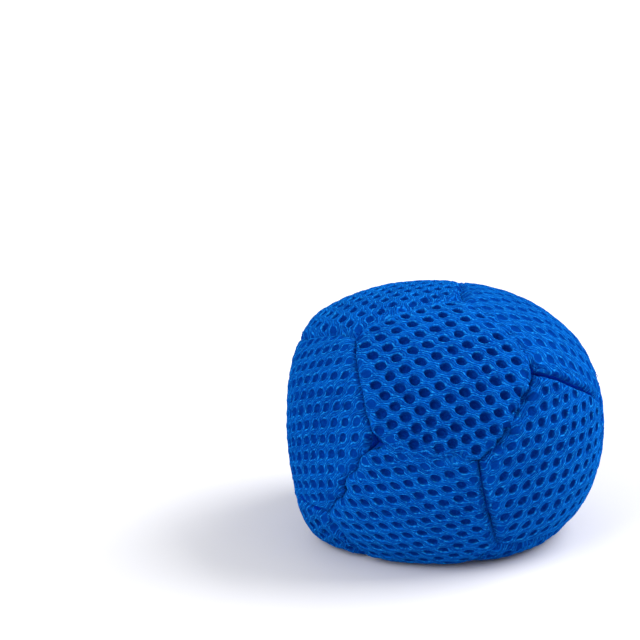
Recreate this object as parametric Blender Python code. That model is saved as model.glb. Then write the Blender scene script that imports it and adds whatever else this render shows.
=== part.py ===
# A sewn footbag: twelve air-mesh panels, thirty hand-turned seams with their threads, and the loose fill.
# Metres, +Z up, standing on the flattened base, with the origin at the middle of the base.
import math

import bmesh
import bpy
from mathutils import Matrix, Vector

# The filled bag: a squarish round body, pressed flat below and dented on its left side
HALF_WIDTH = 0.0316
HALF_DEPTH = 0.0303
HALF_HEIGHT = 0.0258
BASE_SINK = 0.0062          # how much of the round bottom the flat base takes away
BASE_EDGE = 0.0026          # half width of the bend round the flat base
SIDE_DENT = 0.0064          # how far the left side is pushed in
SIDE_EDGE = 0.007           # half width of the bend round the dent
SQUARENESS = 2.3            # exponent of the body's curve; 2 is a plain ellipsoid
SIDE_TURN = 12.0            # degrees that the dent looks backwards
SIDE_DIP = 6.0              # degrees that the dent looks downwards

# How the ball of twelve panels is turned, in degrees
FRONT_TURN = 1.0
FRONT_TILT = 42.0
FRONT_SPIN = 47.0

# The air-mesh fabric and its seams
FABRIC = 0.002              # thickness of a panel
FLANGE = 0.0012             # thickness of the fabric where the seam squeezes it
SEAM_ALLOWANCE = 0.0045     # width of the edge turned in at a seam
SEAM_DRAW = 0.0013          # how far a seam is drawn in below the panels
SHOULDER = 0.0034           # width of the rounded shoulder beside a seam
FIT_GAP = 0.0003            # clearance between pieces that touch

# The sewing thread
THREAD = 0.0005
NEEDLE_EASE = 0.0003        # clearance round the thread in its needle hole
THREAD_TAIL = 0.0011        # thread left beyond the first and last hole
SEAM_STITCHES = 4           # most needle holes along a machine-made seam
CLOSING_STITCHES = 7        # most needle holes along the seam closed last, by hand
CORNER_MARGIN = 0.0029      # from a corner to the first hole of a seam

# The fill
FILL_BANK = 0.0008          # width of the slope where the fill drops behind a seam
FILL_EASE = 0.0007          # how far the fill stays below the turned-in edges

EDGE_STEPS = 4              # faces along each side of a panel
CROWN_SHARES = (0.34, 0.68) # rings of the crown, from a panel's middle to its shoulder
SHOULDER_SHARES = (1.0, 0.5, 0.18)
MERGE = 0.00001             # distance under which two points are one

PANEL_NAMES = (
    "front", "top_right", "right", "front_low", "left", "top_left",
    "base_left", "back_left", "back", "back_right", "base_right", "base_back",
)
CLOSING_SEAM = ("back", "back_right")

# Sewing by hand leaves some corners off their even places: degrees round the bag and degrees up
CORNER_DRIFTS = {
    ("front", "front_low", "left"): (3, -1),
    ("front", "front_low", "right"): (-2, -1),
    ("front", "right", "top_right"): (-4, -2),
    ("front", "top_left", "top_right"): (36, 1),
    ("base_left", "front_low", "left"): (6, 3),
    ("base_right", "front_low", "right"): (-5, 2),
    ("back_right", "right", "top_right"): (-7, 0),
    ("back_left", "left", "top_left"): (7, 2),
    ("back_left", "base_left", "left"): (10, 4),
}

MESH_BLUE = (0.003, 0.075, 0.400, 1.0)
THREAD_BLUE = (0.004, 0.055, 0.300, 1.0)
PELLET_WHITE = (0.780, 0.770, 0.730, 1.0)

side_turn, side_dip = math.radians(SIDE_TURN), math.radians(SIDE_DIP)
SIDE_OUT = Vector((
    -math.cos(side_turn) * math.cos(side_dip),
    math.sin(side_turn) * math.cos(side_dip),
    -math.sin(side_dip),
))
needle_hole = THREAD + 2 * NEEDLE_EASE
half_gap = FIT_GAP / 2
flange_back = half_gap + FLANGE
thread_lane = flange_back + FIT_GAP + THREAD / 2
lane_end = thread_lane + THREAD / 2 + FIT_GAP
bank_end = lane_end + FILL_BANK
turned_in = SEAM_DRAW + SEAM_ALLOWANCE


def clear_scene():
    for item in list(bpy.data.objects):
        bpy.data.objects.remove(item)


def finish_material(name, colour, roughness):
    material = bpy.data.materials.new(name)
    material.use_nodes = True
    shader = material.node_tree.nodes["Principled BSDF"]
    shader.inputs["Base Color"].default_value = colour
    shader.inputs["Roughness"].default_value = roughness
    shader.inputs["Metallic"].default_value = 0.0
    return material


def add_piece(name, data, bag, colour, roughness):
    piece = bpy.data.objects.new(name, data)
    bpy.context.scene.collection.objects.link(piece)
    piece.parent = bag
    data.materials.append(finish_material(name, colour, roughness))
    return piece


def mesh_from(bm, name):
    mesh = bpy.data.meshes.new(name)
    bm.to_mesh(mesh)
    bm.free()
    mesh.shade_smooth()
    mesh.set_sharp_from_angle(angle=math.radians(50))
    return mesh


# The filled shape

def pressed(reach, lean, plane, edge):
    """A reach from the middle, cut short at a plane, with a round bend beside it."""
    if lean <= 0:
        return reach
    over = reach - plane / lean
    if over <= -edge:
        return reach
    return reach - (over if over >= edge else (over + edge) ** 2 / (4 * edge))


def skin_point(direction):
    """Where a line from the middle of the body leaves the filled bag."""
    spread = math.hypot(direction.x / HALF_WIDTH, direction.y / HALF_DEPTH) ** SQUARENESS
    rise = abs(direction.z / HALF_HEIGHT) ** SQUARENESS
    reach = (spread + rise) ** (-1 / SQUARENESS)
    reach = pressed(reach, direction.dot(SIDE_OUT), HALF_WIDTH - SIDE_DENT, SIDE_EDGE)
    reach = pressed(reach, -direction.z, HALF_HEIGHT - BASE_SINK, BASE_EDGE)
    return direction * reach


def below(direction, depth):
    return skin_point(direction) - direction * depth


def seam_draw(inset):
    """How far the fabric is drawn in, that far from a seam."""
    share = min(inset / SHOULDER, 1)
    return SEAM_DRAW * (1 - math.sqrt(1 - (1 - share) ** 2))


# The layout of the twelve panels

def panel_middles():
    turn, tilt, spin = (math.radians(a) for a in (FRONT_TURN, FRONT_TILT, FRONT_SPIN))
    front = Vector((
        math.sin(turn) * math.cos(tilt), -math.cos(turn) * math.cos(tilt), math.sin(tilt)
    ))
    across = Vector((math.cos(turn), math.sin(turn), 0))
    up = front.cross(across)
    lean = math.atan(2)
    ring = []
    for step in range(5):
        clock = spin + step * math.tau / 5
        beside = across * math.sin(clock) + up * math.cos(clock)
        ring.append(front * math.cos(lean) + beside * math.sin(lean))
    middles = [front] + ring + [-middle for middle in ring] + [-front]
    return dict(zip(PANEL_NAMES, middles))


def drifted(direction, drift):
    around = math.atan2(direction.y, direction.x) + math.radians(drift[0])
    rise = math.asin(direction.z) + math.radians(drift[1])
    return Vector((
        math.cos(around) * math.cos(rise), math.sin(around) * math.cos(rise), math.sin(rise)
    ))


def panel_corners(middles):
    """The twenty corners where three panels meet, each under its three panels' names."""
    corners = {}
    names = sorted(middles)
    next_to = math.cos(math.radians(70))
    for i, first in enumerate(names):
        for j, second in enumerate(names[i + 1:], i + 1):
            for third in names[j + 1:]:
                pairs = ((first, second), (second, third), (first, third))
                if all(middles[a].dot(middles[b]) > next_to for a, b in pairs):
                    even = (middles[first] + middles[second] + middles[third]).normalized()
                    key = (first, second, third)
                    corners[key] = drifted(even, CORNER_DRIFTS.get(key, (0, 0)))
    return corners


def corners_round(name, middle, corners):
    """A panel's own five corners in turn, anticlockwise as seen from outside."""
    own = [corners[key] for key in corners if name in key]
    across = middle.orthogonal().normalized()
    up = middle.cross(across)
    return sorted(own, key=lambda corner: math.atan2(corner.dot(up), corner.dot(across)))


def seams_of(corners):
    """Every pair of neighbours, with the two corners at the ends of their seam."""
    seams = {}
    for key, corner in sorted(corners.items()):
        for pair in ((key[0], key[1]), (key[1], key[2]), (key[0], key[2])):
            seams.setdefault(pair, []).append(corner)
    return seams


# A panel's rim: directions to its edge, each with the way that leads in from it

def rim_of(own):
    sides = [own[i].cross(own[(i + 1) % 5]).normalized() for i in range(5)]
    rim = []
    for i in range(5):
        before, here = sides[i - 1], sides[i]
        rim.append((own[i], (before + here) / (1 + before.dot(here))))
        for step in range(1, EDGE_STEPS):
            rim.append((own[i].slerp(own[(i + 1) % 5], step / EDGE_STEPS), here))
    return rim


def inset_direction(edge, way_in, inset, depth):
    reach = skin_point(edge).length - depth
    return (edge * reach + way_in * inset).normalized()


def inset_ring(rim, inset, depth):
    return [below(inset_direction(edge, way_in, inset, depth), depth) for edge, way_in in rim]


def crown_ring(rim, middle, share, depth):
    ring = []
    for edge, way_in in rim:
        shoulder = inset_direction(edge, way_in, SHOULDER, depth)
        ring.append(below(middle.slerp(shoulder, share), depth))
    return ring


def add_skin(bm, start, rings):
    """Triangles from a start point over the rings in turn; each square is split the same way."""
    tip = bm.verts.new(start)
    loops = [[bm.verts.new(point) for point in ring] for ring in rings]
    count = len(loops[0])
    faces = []
    for i in range(count):
        after = (i + 1) % count
        faces.append(bm.faces.new((tip, loops[0][i], loops[0][after])))
        for inner, outer in zip(loops, loops[1:]):
            faces.append(bm.faces.new((inner[i], outer[i], outer[after])))
            faces.append(bm.faces.new((inner[i], outer[after], inner[after])))
    return faces


def panel_middle(rim):
    return sum((edge for edge, way_in in rim), Vector()).normalized()


def build_panel(name, own, bag, needle_holes):
    """One panel of air mesh: its crown, its drawn-in shoulder and the edges turned in all round."""
    rim = rim_of(own)
    middle = panel_middle(rim)
    outside = [crown_ring(rim, middle, share, 0) for share in CROWN_SHARES]
    for share in SHOULDER_SHARES:
        inset = half_gap + (SHOULDER - half_gap) * share
        outside.append(inset_ring(rim, inset, seam_draw(inset)))
    outside.append(inset_ring(rim, half_gap, seam_draw(half_gap)))
    outside.append(inset_ring(rim, half_gap, turned_in))
    outside.append(inset_ring(rim, flange_back, turned_in))
    fold = inset_ring(rim, flange_back, seam_draw(flange_back) + FABRIC)
    inside = [crown_ring(rim, middle, share, FABRIC) for share in CROWN_SHARES]
    inside.append(inset_ring(rim, bank_end, seam_draw(bank_end) + FABRIC))
    bm = bmesh.new()
    add_skin(bm, below(middle, 0), outside + [fold])
    lining = add_skin(bm, below(middle, FABRIC), inside + [fold])
    bmesh.ops.reverse_faces(bm, faces=lining)
    bmesh.ops.remove_doubles(bm, verts=bm.verts, dist=MERGE)
    panel = add_piece("panel_" + name, mesh_from(bm, "panel_" + name), bag, MESH_BLUE, 0.75)
    cut = panel.modifiers.new("needle_holes", "BOOLEAN")
    cut.operation = "DIFFERENCE"
    cut.solver = "EXACT"
    cut.object = needle_holes
    return panel


# The seams' threads and the holes that they pass through

def stitch_line(pair):
    """(most needle holes, depth of the stitches below the skin) of a seam."""
    fold = seam_draw(flange_back) + FABRIC
    if pair == CLOSING_SEAM:
        return CLOSING_STITCHES, fold + FIT_GAP + needle_hole / 2
    return SEAM_STITCHES, (fold + turned_in) / 2


def end_shares(ends, depth, distance):
    """That distance from each end of a seam, as shares of the seam's length."""
    angle = ends[0].angle(ends[1])
    return [distance / (below(end, depth).length * angle) for end in ends]


def hole_shares(ends, most, depth):
    """Where the needle holes lie, as shares of the seam's length; a short seam has fewer."""
    first, last = end_shares(ends, depth, CORNER_MARGIN)
    middle = ends[0].slerp(ends[1], 0.5)
    run = (1 - first - last) * below(middle, depth).length * ends[0].angle(ends[1])
    count = max(2, min(most, 1 + int(run / (needle_hole + FIT_GAP))))
    return [first + (1 - first - last) * hole / (count - 1) for hole in range(count)]


def lane_point(ends, share, face, depth):
    """A point of the thread's lane on one face of a seam, beside the panels' straight faces there."""
    lead = ends[0].cross(ends[1]).normalized() * face
    step = min(int(share * EDGE_STEPS), EDGE_STEPS - 1)
    places = []
    for near in (step, step + 1):
        edge = ends[0].slerp(ends[1], near / EDGE_STEPS)
        places.append(below(inset_direction(edge, lead, thread_lane, depth), depth))
    return places[0].lerp(places[1], share * EDGE_STEPS - step)


def add_needle_holes(bm, pair, ends):
    most, depth = stitch_line(pair)
    for share in hole_shares(ends, most, depth):
        start, end = (lane_point(ends, share, face, depth) for face in (-1, 1))
        centre = start.lerp(end, 0.5)
        through = (end - start).normalized()
        along = centre.cross(through).normalized()
        turned = Matrix((through, along, through.cross(along))).transposed().to_4x4()
        size = Matrix.Diagonal(((end - start).length, needle_hole, needle_hole, 1))
        place = Matrix.Translation(centre) @ turned @ size
        bmesh.ops.create_cube(bm, size=1, matrix=place)


def build_needle_holes(seams, bag):
    bm = bmesh.new()
    for pair, ends in seams.items():
        add_needle_holes(bm, pair, ends)
    cutter = bpy.data.objects.new("needle_holes", mesh_from(bm, "needle_holes"))
    bpy.context.scene.collection.objects.link(cutter)
    cutter.parent = bag
    cutter.hide_render = True
    cutter.display_type = "WIRE"
    return cutter


def build_thread(pair, ends, bag):
    """A running stitch: through both turned-in edges, along one of them, and back through."""
    most, depth = stitch_line(pair)
    first_tail, last_tail = end_shares(ends, depth, THREAD_TAIL)
    shares = hole_shares(ends, most, depth)
    bends = [step / EDGE_STEPS for step in range(EDGE_STEPS + 1)]
    route = [lane_point(ends, shares[0] - first_tail, 1, depth)]
    face = 1
    for share, after in zip(shares, shares[1:] + [shares[-1] + last_tail]):
        route += [lane_point(ends, share, face, depth), lane_point(ends, share, -face, depth)]
        face = -face
        route += [lane_point(ends, bend, face, depth) for bend in bends if share < bend < after]
    route.append(lane_point(ends, shares[-1] + last_tail, face, depth))

    name = "closing_thread" if pair == CLOSING_SEAM else "thread_{}_to_{}".format(*pair)
    curve = bpy.data.curves.new(name, "CURVE")
    curve.dimensions = "3D"
    curve.bevel_depth = THREAD / 2
    curve.bevel_resolution = 0
    curve.use_fill_caps = True
    spline = curve.splines.new("POLY")
    spline.points.add(len(route) - 1)
    for point, place in zip(spline.points, route):
        point.co = (*place, 1)
    return add_piece(name, curve, bag, THREAD_BLUE, 0.6)


# The fill: one solid that stands for the loose pellets, shaped by the bag's inside

def build_fill(panel_rims, bag):
    bm = bmesh.new()
    floor = turned_in + FILL_EASE
    for rim in panel_rims:
        middle = panel_middle(rim)
        roof = FABRIC + FIT_GAP
        rings = [crown_ring(rim, middle, share, roof) for share in CROWN_SHARES]
        rings.append(inset_ring(rim, bank_end, seam_draw(bank_end) + roof))
        rings += [inset_ring(rim, inset, floor) for inset in (lane_end, flange_back, 0)]
        add_skin(bm, below(middle, roof), rings)
    bmesh.ops.remove_doubles(bm, verts=bm.verts, dist=MERGE)
    return add_piece("pellet_fill", mesh_from(bm, "pellet_fill"), bag, PELLET_WHITE, 0.5)


def stand_at_origin(bag, pieces):
    """Moves the bag so that its base is on the ground and its box is centred on the origin."""
    bpy.context.view_layer.update()
    points = [piece.matrix_world @ Vector(corner) for piece in pieces for corner in piece.bound_box]
    middle_x = (min(p.x for p in points) + max(p.x for p in points)) / 2
    middle_y = (min(p.y for p in points) + max(p.y for p in points)) / 2
    bag.location = (-middle_x, -middle_y, HALF_HEIGHT - BASE_SINK)


def build_footbag():
    clear_scene()
    bag = bpy.data.objects.new("footbag", None)
    bpy.context.scene.collection.objects.link(bag)
    middles = panel_middles()
    corners = panel_corners(middles)
    seams = seams_of(corners)
    needle_holes = build_needle_holes(seams, bag)
    panels, rims = [], []
    for name, middle in middles.items():
        own = corners_round(name, middle, corners)
        panels.append(build_panel(name, own, bag, needle_holes))
        rims.append(rim_of(own))
    for pair, ends in seams.items():
        build_thread(pair, ends, bag)
    build_fill(rims, bag)
    stand_at_origin(bag, panels)


build_footbag()
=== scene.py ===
import itertools
import math
import random

import bmesh
import bpy
import numpy as np
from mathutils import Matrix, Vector
from mathutils.geometry import delaunay_2d_cdt


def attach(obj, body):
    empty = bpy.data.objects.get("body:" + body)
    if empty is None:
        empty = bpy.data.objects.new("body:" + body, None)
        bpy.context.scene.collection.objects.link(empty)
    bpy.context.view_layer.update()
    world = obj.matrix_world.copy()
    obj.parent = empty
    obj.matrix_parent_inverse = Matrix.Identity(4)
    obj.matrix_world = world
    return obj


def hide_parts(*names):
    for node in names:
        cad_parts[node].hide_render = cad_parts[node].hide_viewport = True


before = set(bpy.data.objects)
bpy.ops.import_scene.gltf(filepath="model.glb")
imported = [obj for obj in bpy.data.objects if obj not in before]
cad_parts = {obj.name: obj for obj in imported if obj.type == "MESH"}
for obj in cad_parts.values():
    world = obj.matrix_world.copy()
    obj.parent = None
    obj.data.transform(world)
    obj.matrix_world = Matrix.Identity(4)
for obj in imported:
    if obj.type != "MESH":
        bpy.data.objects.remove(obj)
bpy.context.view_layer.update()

mm = 0.001
seeds = {"seams": 11, "seamNoise": 20, "folds": (40, 60), "hills": 80, "holes": 300, "yarn": 77, "pellets": 5}


# The filled bag's shape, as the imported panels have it

bagShape = {
    "halfWidth": 31.6 * mm,
    "halfDepth": 30.3 * mm,
    "halfHeight": 25.8 * mm,
    "baseSink": 6.2 * mm,  # what the flat base takes off the round bottom
    "baseEdge": 2.6 * mm,
    "sideDent": 6.4 * mm,  # how far the left side is pushed in
    "sideEdge": 7.0 * mm,
    "squareness": 2.3,
    "sideTurn": 12,  # degrees
    "sideDip": 6,
    "frontTurn": 1,
    "frontTilt": 42,
    "frontSpin": 47,
}

panelNames = (
    "front", "top_right", "right", "front_low", "left", "top_left",
    "base_left", "back_left", "back", "back_right", "base_right", "base_back",
)

cornerDrifts = {  # degrees round the bag and up, where hand sewing left a corner off its even place
    ("front", "front_low", "left"): (3, -1),
    ("front", "front_low", "right"): (-2, -1),
    ("front", "right", "top_right"): (-4, -2),
    ("front", "top_left", "top_right"): (36, 1),
    ("base_left", "front_low", "left"): (6, 3),
    ("base_right", "front_low", "right"): (-5, 2),
    ("back_right", "right", "top_right"): (-7, 0),
    ("back_left", "left", "top_left"): (7, 2),
    ("back_left", "base_left", "left"): (10, 4),
}


def unit(vectors):
    return vectors / np.linalg.norm(vectors, axis=-1, keepdims=True)


def pressed(reach, lean, plane, edge):  # a reach from the middle, cut short at a plane with a round bend
    safe = np.where(lean > 1e-9, lean, 1.0)
    over = np.where(lean > 1e-9, reach - plane / safe, -edge)
    bend = np.clip(over + edge, 0, 2 * edge)
    return reach - bend ** 2 / (4 * edge) - np.maximum(over - edge, 0)


def skinPoints(ways):  # where lines from the middle of the body leave the filled bag
    shape = bagShape
    power = shape["squareness"]
    spread = np.hypot(ways[..., 0] / shape["halfWidth"], ways[..., 1] / shape["halfDepth"]) ** power
    rise = np.abs(ways[..., 2] / shape["halfHeight"]) ** power
    reach = (spread + rise) ** (-1 / power)
    turn, dip = math.radians(shape["sideTurn"]), math.radians(shape["sideDip"])
    sideOut = np.array((-math.cos(turn) * math.cos(dip), math.sin(turn) * math.cos(dip), -math.sin(dip)))
    reach = pressed(reach, ways @ sideOut, shape["halfWidth"] - shape["sideDent"], shape["sideEdge"])
    reach = pressed(reach, -ways[..., 2], shape["halfHeight"] - shape["baseSink"], shape["baseEdge"])
    return ways * reach[..., None]


def findPanelMiddles():
    turn, tilt, spin = (math.radians(bagShape[key]) for key in ("frontTurn", "frontTilt", "frontSpin"))
    front = np.array((math.sin(turn) * math.cos(tilt), -math.cos(turn) * math.cos(tilt), math.sin(tilt)))
    across = np.array((math.cos(turn), math.sin(turn), 0.0))
    up = np.cross(front, across)
    lean = math.atan(2)
    ring = []
    for step in range(5):
        clock = spin + step * math.tau / 5
        beside = across * math.sin(clock) + up * math.cos(clock)
        ring.append(front * math.cos(lean) + beside * math.sin(lean))
    return dict(zip(panelNames, [front] + ring + [-way for way in ring] + [-front]))


def findCorners(middles):  # the twenty corners where three panels meet
    nextTo = math.cos(math.radians(70))
    corners = {}
    for trio in itertools.combinations(sorted(middles), 3):
        a, b, c = (middles[name] for name in trio)
        if min(a @ b, b @ c, a @ c) > nextTo:
            even = unit(a + b + c)
            drift = cornerDrifts.get(trio, (0, 0))
            around = math.atan2(even[1], even[0]) + math.radians(drift[0])
            rise = math.asin(even[2]) + math.radians(drift[1])
            level = math.cos(rise)
            corners[trio] = np.array((math.cos(around) * level, math.sin(around) * level, math.sin(rise)))
    return corners


def cornersRound(name):  # a panel's five corners, anticlockwise as seen from outside
    own = [(trio, way) for trio, way in panelCorners.items() if name in trio]
    middle = panelMiddles[name]
    across = unit(np.cross((0.3, 0.2, 0.9), middle))  # any way across does to sort them
    up = np.cross(middle, across)
    return sorted(own, key=lambda item: math.atan2(item[1] @ up, item[1] @ across))


def slerp(start, end, shares):
    shares = np.atleast_1d(shares)[:, None]
    angle = math.acos(start @ end)
    return (np.sin((1 - shares) * angle) * start + np.sin(shares * angle) * end) / math.sin(angle)


def panelTip(name):
    ways = [way for trio, way in cornersRound(name)]
    quarters = np.arange(4) / 4
    return unit(sum(slerp(a, b, quarters).sum(0) for a, b in zip(ways, ways[1:] + ways[:1])))


def findBagPlace():  # the body's middle in the frame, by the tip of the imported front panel
    tip = skinPoints(panelTip("front"))
    vertices = np.array([v.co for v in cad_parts["panel_front"].data.vertices])
    level = np.array((0, 0, bagShape["halfHeight"] - bagShape["baseSink"]))
    nearest = np.argmin(np.linalg.norm(vertices - tip - level, axis=1))
    return vertices[nearest] - tip


panelMiddles = findPanelMiddles()
panelCorners = findCorners(panelMiddles)
bagPlace = findBagPlace()
print("bag placed at", [round(value / mm, 2) for value in bagPlace], "mm")


# Seams: each is one wandering line that both of its panels share

seamStyles = {
    # draw: how deep the seam lies; roll: width of the rounded edge beside it; pucker: height of the small
    # folds; wander: how far the line strays; gap: half of what stays open between the panels; all in mm
    # spots: how much wider the gap gets in a few places, in mm; uneven: share by which draw and roll change
    # sharp: 1 for an edge that drops straight down, 0 for a soft valley; fuzz: loops of loose yarn per mm
    "crease": {"draw": 0.95, "roll": 1.05, "pucker": 0.12, "wander": 0.16, "gap": 0.045, "spots": 0.05,
               "uneven": 0.25, "sharp": 0.55, "fuzz": 0.4},
    "fold": {"draw": 1.6, "roll": 1.3, "pucker": 0.10, "wander": 0.16, "gap": 0.30, "spots": 0.06,
             "uneven": 0.2, "sharp": 0.6, "fuzz": 0.3},
    "deep": {"draw": 2.6, "roll": 1.15, "pucker": 0.10, "wander": 0.14, "gap": 0.40, "spots": 0.06,
             "uneven": 0.2, "sharp": 1.0, "fuzz": 0.4},
    "jagged": {"draw": 1.2, "roll": 1.2, "pucker": 0.46, "wander": 0.40, "gap": 0.03, "spots": 0.14,
               "uneven": 0.9, "sharp": 0.4, "fuzz": 1.2},
    "fuzzy": {"draw": 1.0, "roll": 1.3, "pucker": 0.65, "wander": 0.40, "gap": 0.01, "spots": 0.26,
              "uneven": 1.3, "sharp": 0.1, "fuzz": 2.4},
    "flat": {"draw": 0.32, "roll": 1.2, "pucker": 0.28, "wander": 0.36, "gap": 0.006, "spots": 0.02,
             "uneven": 0.8, "sharp": 0.0, "fuzz": 1.6},
    "plain": {"draw": 0.9, "roll": 1.3, "pucker": 0.28, "wander": 0.22, "gap": 0.015, "spots": 0.05,
              "uneven": 0.5, "sharp": 0.35, "fuzz": 0.9},
    "closing": {"draw": 0.9, "roll": 1.2, "pucker": 0.20, "wander": 0.20, "gap": 0.03, "spots": 0.05,
                "uneven": 0.3, "sharp": 0.5, "fuzz": 1.0},
}
seamKinds = {
    ("front", "left"): "crease",
    ("front", "front_low"): "flat",
    ("front", "right"): "fuzzy",
    ("front", "top_right"): "flat",
    ("front", "top_left"): "flat",
    ("front_low", "left"): "jagged",
    ("front_low", "right"): "fold",
    ("right", "top_right"): "deep",
    ("base_left", "left"): "deep",
    ("back", "back_right"): "closing",
}
seamBows = {  # mm that a seam bows aside midway
    ("front", "top_right"): 1.0,
    ("right", "top_right"): 0.7,
    ("front", "left"): -0.45,
    ("front_low", "right"): 0.65,
    ("front", "right"): -0.9,
}
seamLeans = {  # where one panel rolls over the other: what multiplies the draw and the roll on each side
    ("right", "top_right"): {"right": (0.5, 0.8), "top_right": (0.22, 0.45)},
    ("base_left", "left"): {"left": (0.6, 1.1), "base_left": (0.12, 0.45)},
    ("front_low", "right"): {"right": (0.8, 0.7), "front_low": (1.0, 1.3)},
    ("front", "left"): {"front": (0.9, 0.8), "left": (1.0, 1.0)},
}
seamLine = {
    "step": 0.42,  # mm from point to point
    "waves": (2, 3, 5, 7, 11),  # half waves in which a seam wanders
    "noiseApart": 50,  # mm of noise from one seam's stretch to the next one's
    "unevenSize": 1.9,  # mm from one uneven place to the next
    "unevenDraw": 0.7,
    "unevenRoll": 0.4,
    "openFrom": 0.28,  # where in the noise the gap starts to open, and how soon it is wide
    "openWithin": 0.35,
}
cornerStyle = {  # in mm; blend is how far a corner reaches along its seams
    "draw": 0.9, "gap": 0.015, "roll": 1.3, "pucker": 0.2, "sharp": 0.3, "blend": 2.4,
}
deepCorners = {  # corners that lie deeper than the others: draw and gap in mm
    ("front", "right", "top_right"): (1.2, 0.55),
    ("front", "front_low", "left"): (1.9, 1.05),
    ("front", "front_low", "right"): (1.5, 0.12),
}


def smooth(share):
    share = np.clip(share, 0, 1)
    return share * share * (3 - 2 * share)


def evenNoise(places, size, seed):  # soft random hills of one size on a plane, from -1 to 1
    cells = 64
    table = np.random.default_rng(seed).uniform(-1, 1, (cells, cells))
    cell = np.floor(places / size).astype(int)
    share = smooth(places / size - cell)
    x, y = cell[..., 0] % cells, cell[..., 1] % cells
    right, above = (x + 1) % cells, (y + 1) % cells
    low = table[x, y] * (1 - share[..., 0]) + table[right, y] * share[..., 0]
    high = table[x, above] * (1 - share[..., 0]) + table[right, above] * share[..., 0]
    return low * (1 - share[..., 1]) + high * share[..., 1]


def makeSeam(pair, found, seed):
    style, line = seamStyles[seamKinds.get(pair, "plain")], seamLine
    chance = random.Random(seed)
    trios, ends = zip(*found)
    radius = np.linalg.norm(skinPoints((ends[0] + ends[1]) / 2))
    length = radius * math.acos(ends[0] @ ends[1])
    shares = np.linspace(0, 1, 1 + round(length / (line["step"] * mm)))
    side = unit(np.cross(ends[0], ends[1]))
    away = seamBows.get(pair, 0) * np.sin(math.pi * shares)
    for waves in line["waves"]:
        size = chance.gauss(0, 1) * style["wander"] / waves ** 0.5
        away = away + size * np.sin(waves * math.pi * shares) * smooth(4 * np.minimum(shares, 1 - shares))
    ways = unit(slerp(ends[0], ends[1], shares) + side * (away * mm / radius)[:, None])
    spots = shares * length + seed * line["noiseApart"] * mm
    noise = evenNoise(np.stack((spots, spots * 0), 1), line["unevenSize"] * mm, seeds["seamNoise"])
    swell = noise * style["uneven"]
    openGap = style["gap"] + style["spots"] * smooth((noise - line["openFrom"]) / line["openWithin"])
    blends = [smooth(np.abs(shares - end) * length / (cornerStyle["blend"] * mm)) for end in (0, 1)]
    seam = {"ways": ways, "spots": spots, "trios": trios, "fuzz": np.full(len(shares), style["fuzz"]),
            "mids": blends[0] * blends[1]}
    for key, own, scale in (
            ("draw", style["draw"] * (1 + line["unevenDraw"] * swell), mm), ("gap", openGap, mm),
            ("roll", style["roll"] * (1 + line["unevenRoll"] * swell), mm), ("pucker", style["pucker"], mm),
            ("sharp", style["sharp"], 1)):
        values = own
        for trio, blend in zip(trios, blends):
            deep = dict(zip(("draw", "gap"), deepCorners.get(trio, ())))
            corner = deep.get(key, cornerStyle[key])
            quick = key == "gap" and trio not in deepCorners
            values = corner + (values - corner) * (smooth(2 * blend) if quick else blend)
        seam[key + "s"] = values * scale
    return seam


def makeSeams():
    ends = {}
    for trio, way in sorted(panelCorners.items(), key=lambda item: item[0]):
        for pair in ((trio[0], trio[1]), (trio[1], trio[2]), (trio[0], trio[2])):
            ends.setdefault(pair, []).append((trio, way))
    seams = {}
    for seed, (pair, found) in enumerate(ends.items()):
        seams[pair] = makeSeam(pair, found, seed + seeds["seams"])
    return seams


seams = makeSeams()
print("seams laid out:", len(seams))


# A panel's chart: its surface unrolled from its middle, so that cloth lengths stay true on it

class PanelChart:
    clocks = 144
    steps = 90
    reach = math.radians(62)

    def __init__(self, name):
        corners = [way for trio, way in cornersRound(name)]
        self.middle = unit(sum(corners))
        self.up = unit(np.array((0, 0, 1.0)) - self.middle * self.middle[2])
        self.across = np.cross(self.up, self.middle)
        leans = np.linspace(0, self.reach, self.steps)
        arcs = np.zeros((self.steps, self.clocks))
        for clock in range(self.clocks):
            turn = clock * math.tau / self.clocks
            beside = math.cos(turn) * self.across + math.sin(turn) * self.up
            line = skinPoints(np.outer(np.cos(leans), self.middle) + np.outer(np.sin(leans), beside))
            arcs[1:, clock] = np.cumsum(np.linalg.norm(np.diff(line, axis=0), axis=1))
        self.arcs = arcs
        self.far = arcs[-1].min()
        even = np.linspace(0, self.far, self.steps)
        self.leans = np.stack([np.interp(even, arcs[:, clock], leans) for clock in range(self.clocks)], 1)

    def read(self, table, row, turn):  # a table's value between its steps and clocks
        row = np.clip(row, 0, self.steps - 1.001)
        low = row.astype(int)
        column = (turn % math.tau) / math.tau * self.clocks
        left = np.floor(column).astype(int)
        above, beside = row - low, column - left
        left, right = left % self.clocks, (left + 1) % self.clocks
        near = table[low, left] * (1 - above) + table[low + 1, left] * above
        far = table[low, right] * (1 - above) + table[low + 1, right] * above
        return near * (1 - beside) + far * beside

    def ways(self, places):
        turn = np.arctan2(places[..., 1], places[..., 0])
        row = np.linalg.norm(places, axis=-1) / self.far * (self.steps - 1)
        lean = self.read(self.leans, row, turn)[..., None]
        beside = np.cos(turn)[..., None] * self.across + np.sin(turn)[..., None] * self.up
        return np.cos(lean) * self.middle + np.sin(lean) * beside

    def places(self, ways):
        x, y, z = ways @ self.across, ways @ self.up, ways @ self.middle
        turn = np.arctan2(y, x)
        row = np.arctan2(np.hypot(x, y), z) / self.reach * (self.steps - 1)
        arc = self.read(self.arcs, row, turn)
        return np.stack((arc * np.cos(turn), arc * np.sin(turn)), -1)


# The knit of each panel: holes in a lattice that the sewing has stretched and bent.
# first and second are its steps as (mm, degrees), start is where a hole lies in the chart in mm, and bends
# are (across, up) in mm for the squares of the steps and for their product. hole is half its length and
# width in mm, lean turns its length, and deep is the share of the full depth that its pockets have.

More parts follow.
